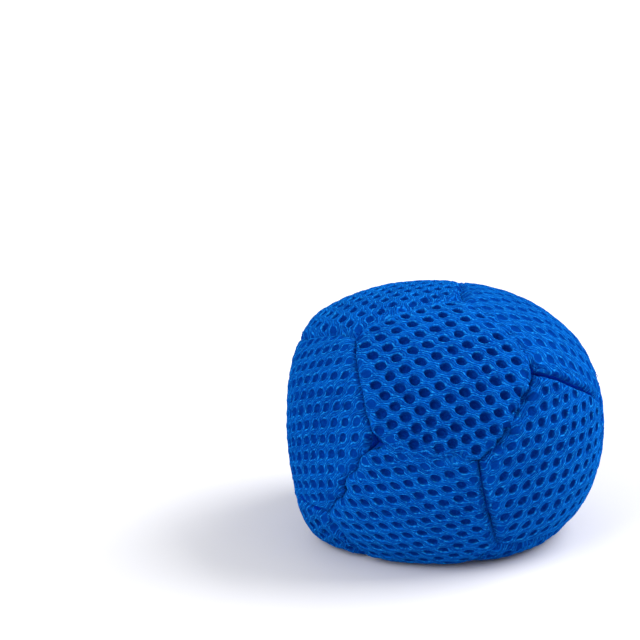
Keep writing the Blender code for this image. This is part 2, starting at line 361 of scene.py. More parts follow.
# deep also sets how much painted shade a panel's pockets get
knits = {
    "front": {"start": (0.36, -0.72), "first": (3.13, 23), "second": (2.98, 122),
              "bends": ((0.022, 0.011), (0.04, 0.054), (0.032, 0.047)), "hole": (1.12, 0.95)},
    "front_low": {"start": (1.51, -0.47), "first": (2.74, 15), "second": (2.91, 129),
                  "bends": ((0.006, -0.015), (-0.043, -0.006), (0.003, -0.008)), "hole": (1.06, 0.68),
                  "deep": 0.7},
    "right": {"start": (-0.29, -1.17), "first": (2.93, 76), "second": (3.24, 180),
              "bends": ((0.093, -0.027), (-0.025, 0.021), (0.067, -0.032)), "hole": (1.03, 0.84),
              "deep": 0.65},
    "left": {"start": (0, 0.47), "first": (2.81, 102), "second": (1.93, 205),
             "bends": ((-0.086, -0.005), (0.012, -0.039), (0.037, 0.002)), "hole": (0.9, 0.74),
             "lean": 88, "deep": 0.5},
    "top_right": {"start": (-13.98, 0.27), "first": (2.89, 300), "second": (3.74, 47),
                  "bends": ((0, 0), (-0.09, 0.06), (0.02, 0.01)), "hole": (1.05, 0.86), "deep": 0.28},
}
knitTurns = {  # degrees that the hidden panels' knit is turned by
    "top_left": 35, "base_left": 80, "back_left": 15, "back": 140,
    "back_right": 62, "base_right": 100, "base_back": 155,
}
plainKnit = {"first": (2.85, 20), "second": (2.85, 124), "start": (0.4, 0.3),
             "bends": ((0.02, 0.03), (-0.03, 0.02), (0.02, -0.03)), "hole": (1.06, 0.84), "deep": 0.75}


def knitOf(name):
    if name in knits:
        return knits[name]
    turn = knitTurns[name]
    own = dict(plainKnit)
    for key in ("first", "second"):
        length, angle = plainKnit[key]
        own[key] = (length, angle + turn)
    return own


def stepVector(step):
    length, angle = step
    return np.array((math.cos(math.radians(angle)), math.sin(math.radians(angle)))) * length * mm


class Knit:
    def __init__(self, name):
        own = knitOf(name)
        self.start = np.array(own["start"]) * mm
        self.steps = np.stack((stepVector(own["first"]), stepVector(own["second"])), 1)
        self.bends = np.array(own["bends"]) * mm
        self.hole = own["hole"]
        self.deep = own.get("deep", 1.0)
        self.lean = math.radians(own["lean"]) if "lean" in own else None

    def places(self, counts):  # from counts of steps to places in the chart
        p, q = counts[..., 0:1], counts[..., 1:2]
        bent = p * p * self.bends[0] + p * q * self.bends[1] + q * q * self.bends[2]
        return self.start + counts @ self.steps.T + bent

    def counts(self, places):  # and back, by a few Newton steps
        found = (places - self.start) @ np.linalg.inv(self.steps).T
        for _ in range(5):
            p, q = found[..., 0:1], found[..., 1:2]
            first = self.steps[:, 0] + 2 * p * self.bends[0] + q * self.bends[1]
            second = self.steps[:, 1] + 2 * q * self.bends[2] + p * self.bends[1]
            missed = places - self.places(found)
            area = first[..., 0] * second[..., 1] - first[..., 1] * second[..., 0]
            p = (missed[..., 0] * second[..., 1] - missed[..., 1] * second[..., 0]) / area
            q = (first[..., 0] * missed[..., 1] - first[..., 1] * missed[..., 0]) / area
            found = found + np.clip(np.stack((p, q), -1), -1, 1)
        return found


# The rim of a panel: its five seams in one loop, and what lies near it

def rimOf(name):
    corners = cornersRound(name)
    found = {"ways": [], "draws": [], "rolls": [], "puckers": [], "sharps": [], "gaps": [], "spots": [],
             "fuzz": [], "nextSpots": []}
    for (trio, way), (nextTrio, nextWay) in zip(corners, corners[1:] + corners[:1]):
        pair = tuple(sorted(set(trio) & set(nextTrio)))
        seam = seams[pair]
        order = slice(None, -1) if seam["trios"][0] == trio else slice(None, 0, -1)
        leans = dict(zip(("draws", "rolls"), seamLeans.get(pair, {}).get(name, ())))
        for key, parts in found.items():
            if key != "nextSpots":
                lean = 1 + (leans.get(key, 1) - 1) * seam["mids"]
                parts.append((seam[key] if key == "ways" else seam[key] * lean)[order])
        spots = seam["spots"] if seam["trios"][0] == trio else seam["spots"][::-1]
        found["nextSpots"].append(spots[1:])
    return {key: np.concatenate(parts) for key, parts in found.items()}


clothForm = {  # lengths in mm
    "dip": 0.25,  # how far the cloth sinks towards a seam
    "dipReach": 6,
    "folds": ((1.5, 0.25, 1.0), (0.7, 0.4, 0.5)),  # length, stretch across the seam, share of the height
    "foldReach": 1.7,
    "hill": 0.10,  # soft unevenness of the filled panel
    "hillSize": 5,
    "hillClear": 3,
}


class PanelRim:
    def __init__(self, name, chart):
        self.found = rimOf(name)
        self.seed = panelNames.index(name)
        self.loop = chart.places(self.found["ways"])
        self.after = np.roll(self.loop, -1, axis=0)
        ahead = unit(self.after - self.loop)
        turned = unit(ahead + np.roll(ahead, 1, axis=0))
        self.inward = np.stack((-turned[:, 1], turned[:, 0]), 1)

    def near(self, places):  # distance to the open edge at the nearest seam, and what the seam is like there
        count = len(self.loop)
        nearest = np.full(len(places), 1.0)
        which = np.zeros(len(places), int)
        share = np.zeros(len(places))
        spread = (places ** 2).sum(1)[:, None] - 2 * places @ self.loop.T + (self.loop ** 2).sum(1)
        closest = np.argmin(spread, axis=1)
        for shift in (-2, -1, 0, 1):
            i = (closest + shift) % count
            here, edge = self.loop[i], self.after[i] - self.loop[i]
            part = np.clip(((places - here) * edge).sum(1) / (edge ** 2).sum(1), 0, 1)
            away = np.linalg.norm(places - here - part[:, None] * edge, axis=1)
            closer = away < nearest
            nearest[closer], which[closer], share[closer] = away[closer], i[closer], part[closer]
        after = (which + 1) % count
        read = {key: self.found[key][which] * (1 - share) + self.found[key][after] * share
                for key in ("draws", "rolls", "puckers", "sharps", "gaps")}
        spots = self.found["spots"][which] * (1 - share) + self.found["nextSpots"][which] * share
        return nearest - read["gaps"], spots, read

    def holds(self, places):  # whether each place is inside the loop
        x, y = places[:, 0:1], places[:, 1:2]
        crossed = (self.loop[:, 1] > y) != (self.after[:, 1] > y)
        rise = np.where(self.after[:, 1] == self.loop[:, 1], 1, self.after[:, 1] - self.loop[:, 1])
        meets = x < (self.after[:, 0] - self.loop[:, 0]) * (y - self.loop[:, 1]) / rise + self.loop[:, 0]
        return (crossed & meets).sum(1) % 2 == 1

    def drop(self, places):  # how far the cloth lies under the full bag's skin
        form = clothForm
        away, spots, read = self.near(places)
        edge = np.clip(1 - away / read["rolls"], 0, 1)
        steep, soft = 1 - np.sqrt(1 - edge ** 2), smooth(edge)
        fall = read["draws"] * (read["sharps"] * steep + (1 - read["sharps"]) * soft)
        wide = form["dip"] * mm * np.clip(1 - away / (form["dipReach"] * mm), 0, 1) ** 2
        folds = 0
        for seed, (size, stretch, height) in zip(seeds["folds"], form["folds"]):
            folds = folds + height * evenNoise(np.stack((spots, away * stretch), 1), size * mm, seed)
        fading = np.exp(-away / (form["foldReach"] * mm))
        hills = form["hill"] * mm * evenNoise(places, form["hillSize"] * mm, self.seed + seeds["hills"])
        hills = hills * smooth(away / (form["hillClear"] * mm))
        return fall + wide - read["puckers"] * folds * fading - hills


# Panels: cut with every hole of the knit as a real pocket, turned in at the seams and lined

panelShape = {  # lengths in mm
    "rimRows": (0.22, 0.5, 0.85, 1.25, 1.7),  # from the seam
    "cellParts": 6,  # how finely the cloth between the holes is divided
    "cellRoom": 0.25,  # from the last of those rows
    "holeCorners": 14,
    # the rings of a pocket: size against the hole, depth, and how hollow the paint takes it to be, which sets
    # its painted shade
    "pocket": ((1.26, 0.0, 0.0), (1.12, 0.05, 0.15), (1.0, 0.22, 0.45), (0.92, 0.55, 0.75), (0.82, 1.0, 1.0)),
    "pocketTip": 1.12,
    "lipHollow": 0.25,  # up to here the paint shows a hole's lip with a painted highlight, and then the painted shade of the pocket
    "paleShade": 0.4,  # share of that painted shade that the flattest pocket keeps
    "rowKeeps": 0.9,  # where rows cross in a corner, points nearer to the seam than this share are dropped
    "rowRoom": 1.42,  # size against the hole of what the rows leave free round it
    "cellHoleRoom": 1.46,  # and of what the cloth between the holes leaves free
    "holeReach": 2.2,  # further from its middle a hole touches nothing
    "holeUneven": 0.07,
    "holeSpread": 0.045,  # share by which the holes differ in size
    "holeStray": 0.05,
    "halfYarn": 0.09,  # what a hole leaves on its side of the middle between two
    "middleRoom": 0.5,  # from a hole's middle to the seam
    "seamRoom": 0.28,  # from a hole's outer ring to the seam
    "leastHole": 0.2,  # share of its size that a hole keeps beside a seam
    "blindReach": 2.2,  # so near a seam, this share of the holes is backed by the cloth turned in
    "blindShare": 0.5,
    "blindDeep": 0.4,
    "edgeDeep": 0.4,  # share of its depth that a pocket has right at a seam, and where it gets the rest
    "deepFrom": 0.8,
    "deepWithin": 1.4,
    "netRise": 0.09,  # how far the cloth stands up midway between holes
    "netFrom": 0.3,  # steps of the knit from a hole's middle to where it starts to rise
    "netWithin": 0.35,
    "netClear": 2,
    "groove": 0.9,  # from the cloth's edge down to where the turned-in edges meet
    "flangeInset": 0.14,
    "flangeDepth": 5.8,
    "flangeThick": 1.2,
    "lining": 2.0,
    "liningGap": 1.4,
    "liningRows": (0.82, 0.6, 0.36, 0.14),  # size against the panel
}


def skinNormals(ways):
    aside = unit(np.cross(ways, np.array((0.31, 0.87, 0.38))))  # a way that no panel's normal takes
    above = np.cross(ways, aside)
    here = skinPoints(ways)
    first = skinPoints(unit(ways + 0.01 * aside)) - here
    second = skinPoints(unit(ways + 0.01 * above)) - here
    normals = unit(np.cross(first, second))
    return normals * np.sign((normals * ways).sum(-1, keepdims=True))


def findHoles(knit, rim):  # counts of the holes that lie inside the rim, spreading from the middle
    found, waiting = {(0, 0)}, [(0, 0)]
    while waiting:
        p, q = waiting.pop()
        for step in ((1, 0), (-1, 0), (0, 1), (0, -1)):
            other = (p + step[0], q + step[1])
            place = knit.places(np.array(other, float))
            if other not in found and rim.holds(place[None])[0]:
                found.add(other)
                waiting.append(other)
    return sorted(found)


def keepApart(knit, counts, middle, ring):  # a hole stays on its own side of the yarn between two
    for step in ((1, 0), (0, 1), (1, 1), (1, -1), (-1, 0), (0, -1), (-1, -1), (-1, 1)):
        other = knit.places(counts + step) - middle
        gap = np.linalg.norm(other)
        lean = ring @ other / gap * panelShape["pocket"][0][0]
        room = gap / 2 - panelShape["halfYarn"] * mm
        ring = ring * np.where(lean > room, room / np.maximum(lean, 1e-9), 1)[:, None]
    return ring


def holeRings(knit, rim, chance, counts):
    shape = panelShape
    turns = np.arange(shape["holeCorners"]) * math.tau / shape["holeCorners"]
    holes = []
    for p, q in counts:
        here = np.array((p, q), float)
        middle = knit.places(here)
        away = rim.near(middle[None])[0][0]
        if away < shape["middleRoom"] * mm:
            continue
        along = unit(knit.places(here + (0.5, -0.5)) - knit.places(here + (-0.5, 0.5)))
        if knit.lean is not None:
            along = np.array((math.cos(knit.lean), math.sin(knit.lean)))
        aside = np.array((-along[1], along[0]))
        long, wide = (size * mm * chance.gauss(1, shape["holeSpread"]) for size in knit.hole)
        middle = middle + np.array([chance.gauss(0, shape["holeStray"]) for _ in range(2)]) * mm
        bumps = [(chance.gauss(0, shape["holeUneven"] / 2), chance.random() * math.tau) for _ in range(2)]
        size = 1 + sum(bump * np.cos((n + 2) * turns + phase) for n, (bump, phase) in enumerate(bumps))
        ring = np.outer(np.cos(turns) * long * size, along) + np.outer(np.sin(turns) * wide * size, aside)
        ring = keepApart(knit, here, middle, ring)
        outer = middle + ring * shape["pocket"][0][0]
        reach = rim.near(outer)[0]
        outside = ~rim.holds(outer)
        reach[outside] = -np.abs(reach[outside])
        least = shape["seamRoom"] * mm
        cut = np.where(reach < least, (away - least) / np.maximum(away - reach, 1e-6), 1)
        ring = ring * np.clip(cut, shape["leastHole"], 1)[:, None]
        blind = away < shape["blindReach"] * mm and chance.random() < shape["blindShare"]
        deep = knit.deep * (shape["blindDeep"] if blind else 1)
        rest = smooth((away / mm - shape["deepFrom"]) / shape["deepWithin"])
        deep = deep * (shape["edgeDeep"] + (1 - shape["edgeDeep"]) * rest)
        holes.append({"middle": middle, "ring": ring, "deep": deep})
    return holes


def overlap(places, holes, factor):  # which places fall on a hole's rings
    hit = np.zeros(len(places), bool)
    for hole in holes:
        near = np.linalg.norm(places - hole["middle"], axis=1) < panelShape["holeReach"] * mm
        if near.any():
            offset = places[near] - hole["middle"]
            turn = np.arctan2(offset[:, 1], offset[:, 0])
            edge = np.linalg.norm(hole["ring"], axis=1)
            clock = np.arctan2(hole["ring"][:, 1], hole["ring"][:, 0])
            order = np.argsort(clock)
            reach = np.interp(turn, clock[order], edge[order], period=math.tau)
            hit[near] |= np.linalg.norm(offset, axis=1) < reach * factor
    return hit


def panelPoints(knit, rim, holes, counts):  # the points of the flat cut: seam rows, hole rings, cloth between
    shape = panelShape
    outline = rim.loop + rim.inward * rim.found["gaps"][:, None]
    rows = np.concatenate([outline + rim.inward * inset * mm for inset in shape["rimRows"]])
    insets = np.repeat(shape["rimRows"], len(rim.loop)) * mm
    clear = rim.near(rows)[0] > shape["rowKeeps"] * insets
    rows = rows[clear & rim.holds(rows) & ~overlap(rows, holes, shape["rowRoom"])]
    parts = shape["cellParts"]
    offsets = range(-parts, parts + 1)
    cells = {(p * parts + i, q * parts + j) for p, q in counts for i in offsets for j in offsets}
    between = knit.places(np.array(sorted(cells), float) / parts)
    between = between[rim.holds(between)]
    clear = rim.near(between)[0] > (shape["rimRows"][-1] + shape["cellRoom"]) * mm
    between = between[clear & ~overlap(between, holes, shape["cellHoleRoom"])]
    rings = [hole["middle"] + hole["ring"] * shape["pocket"][0][0] for hole in holes]
    return outline, rings, np.concatenate((rows, between))


def cutPanel(rim, outline, rings, loose):  # triangles of the flat cut, without the holes
    places = np.concatenate([outline] + rings + [loose])
    edges, start, ringOf = [], 0, np.full(len(places), -1)
    for number, loop in enumerate([outline] + rings):
        edges += [(start + i, start + (i + 1) % len(loop)) for i in range(len(loop))]
        ringOf[start:start + len(loop)] = number
        start += len(loop)
    flat = [Vector(place) for place in places / mm]
    corners, _, faces, origins, _, _ = delaunay_2d_cdt(flat, edges, [], 0, 1e-6)
    corners, triangles = np.array(corners) * mm, np.array([face for face in faces])
    source = np.array([own[0] if own else -1 for own in origins])
    sourceRing = np.where(source >= 0, ringOf[source], -1)
    ringNumbers = sourceRing[triangles]
    inHole = (ringNumbers[:, 0] > 0) & (ringNumbers == ringNumbers[:, :1]).all(1)
    outside = ~rim.holds(corners[triangles].mean(1)) & (ringNumbers == 0).all(1)
    return corners, source, sourceRing < 0, triangles[~inHole & ~outside]


def raiseNet(knit, rim, places, free):  # the cloth between holes stands a little proud of their lips
    shape, rise = panelShape, np.zeros(len(places))
    counts = knit.counts(places[free])
    fromHole = np.linalg.norm(counts - np.round(counts), axis=1)
    rise[free] = shape["netRise"] * mm * smooth((fromHole - shape["netFrom"]) / shape["netWithin"])
    return rise * smooth(rim.near(places)[0] / (shape["netClear"] * mm))


class PanelSheet:  # a panel's points, by place in the chart, depth and hollow, and its faces
    def __init__(self, places, depths, triangles):
        self.flat, self.depth, self.hollow = [places], [depths], [np.zeros(len(places))]
        self.faces = [tuple(face) for face in triangles]
        self.backing = [False] * len(self.faces)
        self.total = len(places)

    def numbers(self, count):
        self.total += count
        return list(range(self.total - count, self.total))

    def addPoints(self, places, depths, hollow):
        self.flat.append(places)
        self.depth.append(depths)
        self.hollow.append(np.full(len(places), hollow))
        return self.numbers(len(places))

    def addBand(self, above, below, backing=False, turned=False):  # faces from one loop of points to the next
        for here in range(len(above)):
            after = (here + 1) % len(above)
            first, second = (after, here) if turned else (here, after)
            self.faces.append((above[first], above[second], below[second], below[first]))
            self.backing.append(backing)

    def addTip(self, above, tip, backing=False, turned=False):  # faces from a loop of points to one point
        for here, after in zip(above, above[1:] + above[:1]):
            self.faces.append((after, here, tip) if turned else (here, after, tip))
            self.backing.append(backing)


def sinkPocket(sheet, rim, hole, lip):  # from the lip of a hole down to the far layer of the mesh
    pale, pure = panelShape["paleShade"], panelShape["lipHollow"]
    shown = pale + (1 - pale) * hole["deep"]
    for size, deep, dark in panelShape["pocket"][1:]:
        spots = hole["middle"] + hole["ring"] * size
        # the hollow values set the painted shade of the pocket, less of it where the pocket is shallow
        hollow = dark if dark < pure else pure + (dark - pure) * shown
        ring = sheet.addPoints(spots, rim.drop(spots) + deep * mm * hole["deep"], hollow)
        sheet.addBand(lip, ring, backing=deep > 0.6)
        lip = ring
    middle = hole["middle"][None]
    depth = rim.drop(middle) + panelShape["pocketTip"] * mm * hole["deep"]
    tip = sheet.addPoints(middle, depth, pure + (1 - pure) * shown)
    sheet.addTip(lip, tip[0], backing=True)


def turnIn(sheet, chart, rim, edge):  # the edge turned in at the seam, then the lining
    shape = panelShape
    grooveSide = np.minimum(rim.found["gaps"] / mm, shape["flangeInset"] / 2)[:, None]
    grooveDepth = (rim.found["draws"] / mm + shape["groove"])[:, None]
    thick = shape["flangeInset"] + shape["flangeThick"]
    loops = []
    for inset, deep in ((grooveSide, grooveDepth), (shape["flangeInset"], shape["flangeDepth"]),
                        (thick, shape["flangeDepth"]), (thick, shape["lining"] + shape["liningGap"])):
        ways = chart.ways(rim.loop + rim.inward * inset * mm)
        loops.append(skinPoints(ways) - ways * deep * mm)
    for size in shape["liningRows"]:
        ways = chart.ways(rim.loop * size)
        loops.append(skinPoints(ways) - skinNormals(ways) * shape["lining"] * mm)
    for loop in loops:
        row = sheet.numbers(len(loop))
        sheet.addBand(edge, row, turned=True)
        edge = row
    tip = skinPoints(chart.ways(np.zeros((1, 2)))) - chart.middle * shape["lining"] * mm
    sheet.addTip(edge, sheet.numbers(1)[0], turned=True)
    return np.concatenate(loops + [tip])


def addVectors(mesh, key, columns):  # three numbers at every point, for the paints
    layer = mesh.attributes.new(key, "FLOAT_VECTOR", "POINT")
    layer.data.foreach_set("vector", np.stack(columns, 1).astype(np.float32).ravel())


def buildPanel(name):
    chance = random.Random(panelNames.index(name) + seeds["holes"])
    chart, knit = PanelChart(name), Knit(name)
    rim = PanelRim(name, chart)
    counts = findHoles(knit, rim)
    holes = holeRings(knit, rim, chance, counts)
    outline, rings, loose = panelPoints(knit, rim, holes, counts)
    places, source, free, triangles = cutPanel(rim, outline, rings, loose)
    sheet = PanelSheet(places, rim.drop(places) - raiseNet(knit, rim, places, free), triangles)
    indexOf = {own: i for i, own in enumerate(source) if own >= 0}
    edge = [indexOf[i] for i in range(len(outline))]
    start = len(outline)
    for hole, ring in zip(holes, rings):
        sinkPocket(sheet, rim, hole, [indexOf[start + i] for i in range(len(ring))])
        start += len(ring)
    flat, depth, hollow = (np.concatenate(parts) for parts in (sheet.flat, sheet.depth, sheet.hollow))
    ways = chart.ways(flat)
    solid = skinPoints(ways) - skinNormals(ways) * depth[:, None]
    solid = np.concatenate((solid, turnIn(sheet, chart, rim, edge))) + bagPlace
    solid[:, 2] = np.maximum(solid[:, 2], 0)

    mesh = bpy.data.meshes.new("cloth_" + name)
    mesh.from_pydata(solid.tolist(), [], sheet.faces)
    mesh.polygons.foreach_set("use_smooth", [True] * len(sheet.faces))
    mesh.polygons.foreach_set("material_index", [int(flag) for flag in sheet.backing])
    ends = np.zeros(len(mesh.edges) * 2, int)
    mesh.edges.foreach_get("vertices", ends)
    atSeam = np.zeros(len(solid), bool)
    atSeam[edge] = True
    sharp = mesh.attributes.new("sharp_edge", "BOOLEAN", "EDGE")
    sharp.data.foreach_set("value", atSeam[ends].reshape(-1, 2).all(1))
    unseen = np.zeros(len(solid) - len(flat))
    knitCounts = np.concatenate((knit.counts(flat), np.stack((unseen, unseen), 1)))
    hollow = np.concatenate((hollow, unseen - 1))  # below 0: turned in, which the face paint gives a painted shade colour
    addVectors(mesh, "knit", (knitCounts[:, 0], knitCounts[:, 1], hollow))
    across, up = (np.concatenate((flat[:, axis] / mm, unseen)) for axis in (0, 1))
    addVectors(mesh, "cloth", (across, up, np.concatenate((rim.near(flat)[0] / mm, unseen))))
    piece = bpy.data.objects.new("cloth_" + name, mesh)
    bpy.context.collection.objects.link(piece)
    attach(piece, "root")
    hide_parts("panel_" + name)
    print("cut", name, "with", len(holes), "holes,", len(sheet.faces), "faces")
    return {"piece": piece, "chart": chart, "knit": knit, "rim": rim}


# Paints. A helper adds a node with its inputs; a socket given as an input is linked

def addNode(tree, kind, inputs=None, **settings):
    node = tree.nodes.new(kind)
    for key, value in settings.items():
        setattr(node, key, value)
    for key, value in (inputs or {}).items():
        if isinstance(value, bpy.types.NodeSocket):
            tree.links.new(value, node.inputs[key])
        else:
            node.inputs[key].default_value = value
    return node


def reckon(tree, operation, first, second=0.0):
    return addNode(tree, "ShaderNodeMath", {0: first, 1: second}, operation=operation).outputs[0]


def times(tree, first, second):
    return reckon(tree, "MULTIPLY", first, second)


def plus(tree, first, second):
    return reckon(tree, "ADD", first, second)


def waveOf(tree, operation, value, pace):
    return reckon(tree, operation, times(tree, value, pace))


def blendOf(tree, share, low, high):  # 0, 6, 7 and 2 are the colour mix's own sockets
    return addNode(tree, "ShaderNodeMix", {0: share, 6: low, 7: high}, data_type="RGBA").outputs[2]


def spread(tree, value, low, high, newLow=0.0, newHigh=1.0):
    inputs = {"Value": value, "From Min": low, "From Max": high, "To Min": newLow, "To Max": newHigh}
    return addNode(tree, "ShaderNodeMapRange", inputs, interpolation_type="SMOOTHSTEP").outputs["Result"]


def noiseOf(tree, vector, scale, detail=2.0, rough=0.55):
    inputs = {"Vector": vector, "Scale": scale, "Detail": detail, "Roughness": rough}
    return addNode(tree, "ShaderNodeTexNoise", inputs).outputs["Fac"]


def vectorOf(tree, x, y, z=0.0):
    return addNode(tree, "ShaderNodeCombineXYZ", {"X": x, "Y": y, "Z": z}).outputs["Vector"]


def readPoint(tree, key):  # what addVectors left at a point
    return addNode(tree, "ShaderNodeAttribute", attribute_name=key).outputs["Vector"]


def makeGroup(name, inputs, outputs):
    group = bpy.data.node_groups.new(name, "ShaderNodeTree")
    for label, kind in inputs.items():
        group.interface.new_socket(label, in_out="INPUT", socket_type="NodeSocket" + kind)
    for label, kind in outputs.items():
        group.interface.new_socket(label, in_out="OUTPUT", socket_type="NodeSocket" + kind)
    return group, group.nodes.new("NodeGroupInput"), group.nodes.new("NodeGroupOutput")


yarnLook = {
    "strands": 3,  # strands of yarn in a row of the knit, painted lighter, with painted shade in the narrow lines between them
    "swing": 0.32,  # how far the strands swing round the holes
    "pinch": 0.03,
    "stray": 0.30,
    "filaments": 9.0,
    "slant": 1.6,  # the filaments' twist
}


def makeYarnGroup():  # strands that run in rows and swing round the holes, with painted light on the raised strands, painted shade between them and painted glints
    look, outputs = yarnLook, {"ShadedTone": "Float", "Height": "Float", "PaintedGlint": "Float"}
    tree, given, wanted = makeGroup("yarnStrands", {"Knit": "Vector"}, outputs)
    knit = given.outputs["Knit"]
    parts = addNode(tree, "ShaderNodeSeparateXYZ", {"Vector": knit})
    p, q = parts.outputs["X"], parts.outputs["Y"]
    along = reckon(tree, "SUBTRACT", p, q)
    row = plus(tree, p, q)
    swing = times(tree, waveOf(tree, "COSINE", along, math.pi), waveOf(tree, "SINE", row, math.pi))
    line = reckon(tree, "SUBTRACT", row, times(tree, swing, look["swing"]))
    line = reckon(tree, "SUBTRACT", line, times(tree, waveOf(tree, "SINE", row, math.tau), look["pinch"]))
    stray = reckon(tree, "SUBTRACT", noiseOf(tree, knit, 2.8), 0.5)
    line = plus(tree, line, times(tree, stray, look["stray"]))
    strand = times(tree, line, look["strands"])
    ridge = spread(tree, waveOf(tree, "COSINE", strand, math.tau), 0.95, -0.3)
    rowWave = waveOf(tree, "COSINE", line, math.tau)
    ridge = times(tree, ridge, spread(tree, rowWave, -1.0, 0.6, 0.45, 1.05))  # painted highlight: brightest beside holes, where the raised strands catch the light
    ridge = times(tree, ridge, spread(tree, noiseOf(tree, knit, 6.5), 0.36, 0.62, 0.62, 1.0))
    strandTone = noiseOf(tree, vectorOf(tree, times(tree, along, 1.1), strand), 1.3, 1.5)
    slanted = plus(tree, times(tree, line, look["filaments"]), times(tree, along, look["slant"]))
    filament = noiseOf(tree, vectorOf(tree, times(tree, along, 2.6), slanted, 5.0), 1.0, 2.0, 0.7)
    dash = noiseOf(tree, vectorOf(tree, times(tree, along, 5.0), slanted, 9.0), 0.8, 1.0)
    tone = times(tree, ridge, spread(tree, strandTone, 0.3, 0.65, 0.48, 1.08))
    tone = plus(tree, tone, spread(tree, filament, 0.3, 0.7, 0, 0.26))
    height = plus(tree, times(tree, ridge, 0.6), times(tree, filament, 0.8))
    # painted highlight: small glints on the lit strands
    paintedGlint = times(tree, spread(tree, dash, 0.53, 0.64), spread(tree, ridge, 0.3, 0.9, 0.25, 1.0))
    for label, found in (("ShadedTone", tone), ("Height", height), ("PaintedGlint", paintedGlint)):
        tree.links.new(found, wanted.inputs[label])
    return tree


def makeDyeGroup():  # slow, uneven change of the dye over a panel
    tree, given, wanted = makeGroup("unevenDye", {"Place": "Vector"}, {"Shade": "Float"})
    wide, close = (noiseOf(tree, given.outputs["Place"], scale) for scale in (0.16, 1.1))
    shade = plus(tree, spread(tree, wide, 0.3, 0.7, 0, 0.6), spread(tree, close, 0.3, 0.7, 0, 0.4))
    tree.links.new(shade, wanted.inputs["Shade"])
    return tree


yarnGroup = makeYarnGroup()
dyeGroup = makeDyeGroup()

meshColors = {
    # the ends of the yarn's tone, which carries painted shade between the strands and painted light on them
    "dark": (0.0003, 0.021, 0.20, 1),
    "light": (0.0011, 0.107, 0.53, 1),
    # colour of the painted highlights
    "paintedGlint": (0.014, 0.32, 0.82, 1),
    # painted shade inside the pockets of the holes
    "hole": (0.0003, 0.026, 0.215, 1),
    # painted shade colour for the seam gaps, bluer as light bounces between the blue cloth
    "paintedGapShade": (0.0003, 0.024, 0.47, 1),
    # the far layer's blue darkened as painted shade; the next is lighter, for shallow floors with less
    # painted shade and for the fibre streaks
    "backing": (0.0003, 0.022, 0.20, 1),
    "backingLitAndStreaks": (0.0006, 0.062, 0.37, 1),
}


def startPaint(name, **sockets):
    paint = bpy.data.materials.new(name)
    paint.use_nodes = True
    shader = paint.node_tree.nodes["Principled BSDF"]
    for key, value in sockets.items():
        label = {"rough": "Roughness", "gloss": "Specular IOR Level", "sheen": "Sheen Weight",
                 "sheenRough": "Sheen Roughness", "sheenTint": "Sheen Tint"}[key]
        shader.inputs[label].default_value = value
    return paint, paint.node_tree, shader


def finishPaint(tree, shader, color, height, strength, depth):  # colour, and bumps of a depth in mm
    tree.links.new(color, shader.inputs["Base Color"])
    bump = addNode(tree, "ShaderNodeBump", {"Height": height, "Strength": strength, "Distance": depth * mm})
    tree.links.new(bump.outputs["Normal"], shader.inputs["Normal"])


def startMeshPaint(name, **sockets):
    paint, tree, shader = startPaint(name, **sockets)
    knit, cloth = readPoint(tree, "knit"), readPoint(tree, "cloth")
    hollow = addNode(tree, "ShaderNodeSeparateXYZ", {"Vector": knit}).outputs["Z"]
    yarn = addNode(tree, "ShaderNodeGroup", {}, node_tree=yarnGroup)
    tree.links.new(knit, yarn.inputs["Knit"])
    return paint, tree, shader, cloth, hollow, yarn.outputs


def makeFacePaint():  # the knitted face of the air mesh
    paint, tree, shader, cloth, hollow, yarn = startMeshPaint(
        "meshFace", rough=0.65, gloss=0.0, sheen=0.3, sheenRough=0.4, sheenTint=(0.01, 0.32, 0.85, 1))
    dye = addNode(tree, "ShaderNodeGroup", {}, node_tree=dyeGroup)
    tree.links.new(cloth, dye.inputs["Place"])
    tone = plus(tree, yarn["ShadedTone"], spread(tree, dye.outputs["Shade"], 0, 1, -0.15, 0.15))
    color = blendOf(tree, tone, meshColors["dark"], meshColors["light"])
    # painted highlight along the lips of the holes, in broken strokes, mixed with the glints
    lip = times(tree, spread(tree, hollow, 0.0, 0.2), spread(tree, hollow, 0.4, 0.2))
    lip = times(tree, lip, spread(tree, noiseOf(tree, cloth, 1.3), 0.5, 0.7, 0.0, 0.4))
    paintedGlint = reckon(tree, "MAXIMUM", times(tree, yarn["PaintedGlint"], 0.65), lip)
    color = blendOf(tree, paintedGlint, color, meshColors["paintedGlint"])
    # painted shade: the walls of a pocket darken the deeper they lie
    color = blendOf(tree, spread(tree, hollow, 0.25, 0.75), color, meshColors["hole"])
    # painted shade in the seam gaps, on the edges turned in below the cloth
    color = blendOf(tree, spread(tree, hollow, 0.0, -0.5, 0.0, 0.85), color, meshColors["paintedGapShade"])
    finishPaint(tree, shader, color, yarn["Height"], 0.8, 0.14)
    return paint


def makeBackingPaint():  # the far layer of the mesh, seen through its holes, with painted shade that darkens it the deeper it lies
    paint, tree, shader, cloth, hollow, yarn = startMeshPaint("meshBacking", rough=0.8, gloss=0.0)
    # painted shade: the floor darkens from the shallow pockets to the deep ones
    near = spread(tree, hollow, 0.45, 0.98, 0.5, 0.0)
    color = blendOf(tree, near, meshColors["backing"], meshColors["backingLitAndStreaks"])
    streak = spread(tree, noiseOf(tree, cloth, 1.4, 3.0, 0.7), 0.42, 0.68, 0, 0.5)
    streak = plus(tree, streak, spread(tree, yarn["ShadedTone"], 0.35, 0.95, -0.1, 0.4))
    color = blendOf(tree, streak, color, meshColors["backingLitAndStreaks"])
    finishPaint(tree, shader, color, noiseOf(tree, cloth, 3.0), 0.5, 0.1)
    return paint


facePaint = makeFacePaint()
backPaint = makeBackingPaint()
panels = {}
for name in panelNames:
    panels[name] = buildPanel(name)
    panels[name]["piece"].data.materials.append(facePaint)
    panels[name]["piece"].data.materials.append(backPaint)


# Thread, loose yarn and fill

